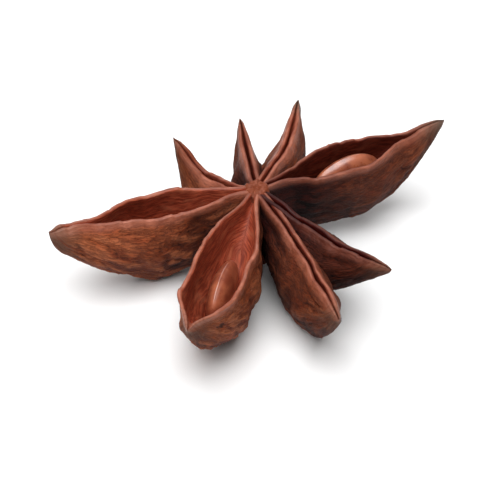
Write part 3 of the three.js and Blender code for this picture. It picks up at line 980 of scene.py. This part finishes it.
# %% Pod material
def pod_material():
    """The woody skin: colour, roughness and fine bump from the masks and the grain coordinates."""
    material, wire, shader = new_material("anise_bark")
    masks = wire.node("ShaderNodeAttribute", {"attribute_name": "masks"})
    tip = Wire(wire.tree, masks.socket.node.outputs["Alpha"])
    split = wire.node("ShaderNodeSeparateColor", Color=masks).socket.node.outputs
    lip, inner, level = (Wire(wire.tree, split[k]) for k in range(3))
    place = wire.node("ShaderNodeAttribute", {"attribute_name": "place"}, output=1)
    shares = wire.node("ShaderNodeSeparateXYZ", Vector=place).socket.node.outputs
    outward, height, bare = (Wire(wire.tree, shares[k]) for k in range(3))
    grain = wire.node("ShaderNodeAttribute", {"attribute_name": "grain"}, output=1)
    shade = wire.node("ShaderNodeAttribute", {"attribute_name": "shade"}, output=2)

    def texture(per_mm_along, per_mm_round, detail, roughness=0.5):
        """A noise texture with so many features a millimetre along the carpel and round it."""
        scales = (per_mm_along, per_mm_round, 1.0)
        stretched = wire.node("ShaderNodeVectorMath", {"operation": "MULTIPLY"}, in_0=grain, in_1=scales)
        sizes = {"Scale": 1.0, "Detail": detail, "Roughness": roughness}
        return wire.node("ShaderNodeTexNoise", Vector=stretched, **sizes)

    drift = texture(0.20, 0.28, 2.0)
    patches = texture(0.6, 0.9, 3.0)
    fibres = texture(0.9, 3.6, 4.0, 0.62)
    specks = texture(3.0, 5.0, 3.0)
    veins = (texture(0.75, 2.3, 3.0, 0.6) - 0.5).maths("ABSOLUTE").between(0.0, 0.08)

    # Brown that drifts from place to place, darkened by painted shade near the column and low at the keel,
    # and lightened by painted light on the upper flank under the lip.
    shaded_inner_bark = drift.between(0.36, 0.64).mix(*BARK_SHADED_INNER)
    outer_bark = drift.between(0.36, 0.64).mix(*BARK_OUTER)
    outer = (outward + patches * 0.5).between(0.52, 1.0)
    high = (height + patches * 0.4).between(0.65, 1.1)
    low = (1 - height).between(0.35, 0.95)
    bark = outer.mix(shaded_inner_bark, outer_bark)
    bark = (high * (0.25 + outer * 0.55)).mix(bark, LIT_UPPER_FLANK)
    bark = (low * 0.45).mix(bark, KEEL_SHADE)

    # Violet bloom and orange patches, then fibres and specks, painted light on the crests, and veins and
    # creases darkened partly by painted shade.
    bark = (patches.between(0.52, 0.64) * (0.3 + low * 0.5)).mix(bark, BLOOM)
    bark = (patches.between(0.47, 0.36) * 0.5).mix(bark, RUST)
    bark = (fibres.between(0.50, 0.68) * 0.45).mix(bark, FIBRE_LIGHT)
    bark = (fibres.between(0.46, 0.32) * 0.45).mix(bark, FIBRE_DARK)
    bark = (specks.between(0.55, 0.70) * 0.4).mix(bark, SPECK)
    bark = (level.between(0.55, 0.95) * (0.3 + patches * 0.7)).mix(bark, CREST)
    bark = ((1 - veins) * 0.42).mix(bark, VEIN)
    bark = (level.between(0.42, 0.1) * 0.9).mix(bark, CREASE_SHADE)

    # The lining inside, and the tan rim over both.
    wall = fibres.between(0.38, 0.66).mix(*LINING)
    wall = (patches.between(0.48, 0.70) * 0.5).mix(wall, LINING_PALE)
    rim = patches.between(0.35, 0.65).mix(*RIM)
    colour = inner.mix(bark, wall)
    colour = (lip * (0.35 + fibres * 0.8)).mix(colour, rim)

    # Painted shade: over carpels with a high shade, partly a darker bark, most in their cavities, and over
    # the flanks of all carpels near the column, but hardly over their rims.
    painted_shade_amount = shade * (1 - outward.between(0.75, 1.0) * 0.4) * (1 + inner * 0.35)
    painted_shade_amount = painted_shade_amount + (1 - outward).between(0.45, 0.85) * 0.4 * (1 - inner)
    colour = (painted_shade_amount * (1 - lip * (1 - shade) * 1.8)).tint(colour, PAINTED_SHADE_COLOUR)

    # Bare wood of knob and scar, and weathered tips.
    colour = (bare * level.between(0.25, 0.6)).mix(colour, BARE_WOOD)
    colour = (tip * patches.between(0.25, 0.6)).mix(colour, TIP_TAN)
    colour = (tip * tip * 0.6).mix(colour, TIP_GREY)

    # Lip and lining are smoother and a little glossy, and the fine grain is left to the bark.
    rough = 0.62 + specks * 0.16 - lip * 0.22 - inner * 0.24
    sheen = (lip * 0.35 + inner * 0.15) * (1 - bare) * (1 - shade * 0.7)
    grit = fibres * 0.6 + specks * (1 - inner * 0.8) * 0.6 + veins * (1 - inner) * (1 - lip) * 0.5
    bump = wire.node("ShaderNodeBump", Strength=BUMP_STRENGTH, Distance=BUMP_DEPTH, Height=grit)
    feeds = {"Base Color": colour, "Roughness": rough, "Normal": bump, "Coat Weight": sheen}
    for key, value in feeds.items():
        wire.tree.links.new(value.socket, shader.inputs[key])
    shader.inputs["Specular IOR Level"].default_value = SPECULAR
    shader.inputs["Coat Roughness"].default_value = COAT_ROUGHNESS
    return material


pod.data.materials.clear()
pod.data.materials.append(pod_material())
print("bark nodes:", len(pod.data.materials[0].node_tree.nodes))

# %% [markdown]
# ## The polish of a seed
#
# The seed coat is chestnut brown with a hard natural polish. A clear coat over a smooth base gives
# the small bright reflections, and a faint mottling keeps it from looking like plastic.

# %% Seed material
CHESTNUT = (srgb(122, 58, 38), srgb(168, 94, 64))
CHESTNUT_SPOT, SCAR_BUFF = srgb(176, 104, 66), srgb(190, 150, 112)
MOTTLES, SPOTS = 0.7 / MM, 2.6 / MM  # features a metre
POLISH, POLISH_ROUGHNESS = 1.0, 0.33
SEED_BUMP, SEED_BUMP_DEPTH = 0.2, 0.06 * MM


def seed_material():
    """Chestnut brown, mottled, glossy, with a dull pale scar at the inner end."""
    material, wire, shader = new_material("anise_seed")
    scar = wire.node("ShaderNodeAttribute", {"attribute_name": "scar"}, output=2)
    place = wire.node("ShaderNodeTexCoord", output=3)
    mottle = wire.node("ShaderNodeTexNoise", Vector=place, Scale=MOTTLES, Detail=3.0)
    fine = wire.node("ShaderNodeTexNoise", Vector=place, Scale=SPOTS, Detail=2.0)
    colour = mottle.between(0.35, 0.68).mix(*CHESTNUT)
    colour = (fine.between(0.55, 0.75) * 0.3).mix(colour, CHESTNUT_SPOT)
    colour = (scar * 0.9).mix(colour, SCAR_BUFF)
    rough = 0.24 + fine * 0.1 + scar * 0.4
    bump = wire.node("ShaderNodeBump", Strength=SEED_BUMP, Distance=SEED_BUMP_DEPTH, Height=mottle)
    for key, value in {"Base Color": colour, "Roughness": rough, "Normal": bump}.items():
        wire.tree.links.new(value.socket, shader.inputs[key])
    shader.inputs["Coat Weight"].default_value = POLISH
    shader.inputs["Coat Roughness"].default_value = POLISH_ROUGHNESS
    return material


polish = seed_material()
for piece in seeds.values():
    piece.data.materials.append(polish)
print("seed material on", len(seeds), "seeds")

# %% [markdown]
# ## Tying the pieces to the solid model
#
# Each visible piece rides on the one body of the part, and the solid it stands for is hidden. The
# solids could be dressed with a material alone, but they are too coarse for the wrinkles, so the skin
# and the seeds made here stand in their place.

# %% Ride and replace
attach(pod, "root")
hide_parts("pod")
for name, piece in seeds.items():
    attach(piece, "root")
    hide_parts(name)
print("pieces tied:", 1 + len(seeds))

# %% [markdown]
# ## Table, light and camera
#
# The pod lies on a plain pale table. A broad lamp above and a little in front lights the open mouths,
# a weak one low at the front left opens the shadows under the flanks, and a soft one behind draws
# bright edges on the lips. Each lamp is turned to the pod by a rotation worked out from its place. The
# camera looks down at 40 degrees from 0.4 m away, through a long lens: near carpels look only a few
# per cent larger than far ones.

# %% Table
TABLE_HALF = 600.0  # mm
BOARD = ((0.80, 0.80, 0.80, 1), (0.83, 0.83, 0.83, 1))
BOARD_MOTTLES, BOARD_ROUGHNESS = 60.0, 0.9


def table_material():
    """Matt white board with the faintest mottling."""
    material, wire, shader = new_material("table_white")
    place = wire.node("ShaderNodeTexCoord", output=3)
    mottle = wire.node("ShaderNodeTexNoise", Vector=place, Scale=BOARD_MOTTLES, Detail=2.0)
    colour = mottle.between(0.3, 0.7).mix(*BOARD)
    wire.tree.links.new(colour.socket, shader.inputs["Base Color"])
    shader.inputs["Roughness"].default_value = BOARD_ROUGHNESS
    return material


table_corners = np.array([[-1, -1, 0], [1, -1, 0], [1, 1, 0], [-1, 1, 0]]) * TABLE_HALF
table = new_piece("table", table_corners, [[0, 1, 2, 3]])
table.data.materials.append(table_material())
table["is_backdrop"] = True
print("table of", 2 * TABLE_HALF, "mm")

# %% Light
LAMPS = {  # place and size in metres, watts
    "key": ((-0.03, -0.09, 0.39), 0.40, 2.75),
    "fill": ((-0.22, -0.30, 0.22), 0.30, 0.28),
    "rim": ((-0.02, 0.34, 0.30), 0.34, 0.7),
}
LAMP_TARGET = Vector((0, 0, 0.004))
ROOM_LIGHT = 0.15


def lamp(name, place, size, watts):
    """A square area lamp at a place, turned so that its -Z axis meets the target."""
    data = bpy.data.lights.new(name, "AREA")
    data.size, data.energy = size, watts
    made = bpy.data.objects.new(name, data)
    made.location = place
    made.rotation_euler = (LAMP_TARGET - Vector(place)).to_track_quat("-Z", "Y").to_euler()
    bpy.context.scene.collection.objects.link(made)


for name, sizes in LAMPS.items():
    lamp(name, *sizes)

world = bpy.data.worlds.new("soft_white")
world.use_nodes = True
world.node_tree.nodes["Background"].inputs["Color"].default_value = (1.0, 1.0, 1.0, 1.0)
world.node_tree.nodes["Background"].inputs["Strength"].default_value = ROOM_LIGHT
bpy.context.scene.world = world
bpy.context.scene.view_settings.view_transform = "Standard"
print("lamps:", len(LAMPS))

# %% Camera
ELEVATION = math.radians(40)
DISTANCE, LENS = 0.40, 320.0  # metres, millimetres
AIM = (-0.0006, -0.0045, 0.0045)
camera_data = bpy.data.cameras.new("camera")
camera_data.lens = LENS
camera = bpy.data.objects.new("camera", camera_data)
bpy.context.scene.collection.objects.link(camera)
back, up = DISTANCE * math.cos(ELEVATION), DISTANCE * math.sin(ELEVATION)
camera.location = (AIM[0], AIM[1] - back, AIM[2] + up)
camera.rotation_euler = (math.pi / 2 - ELEVATION, 0, 0)
bpy.context.scene.camera = camera
print("camera at", [round(v, 3) for v in camera.location])

# %% [markdown]
# ## The box of the finished pod
#
# The finished pod has to fill the same box as its solid model. Here the box of all that is shown,
# without the table, is measured.

# %% The box of what is shown
low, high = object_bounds()
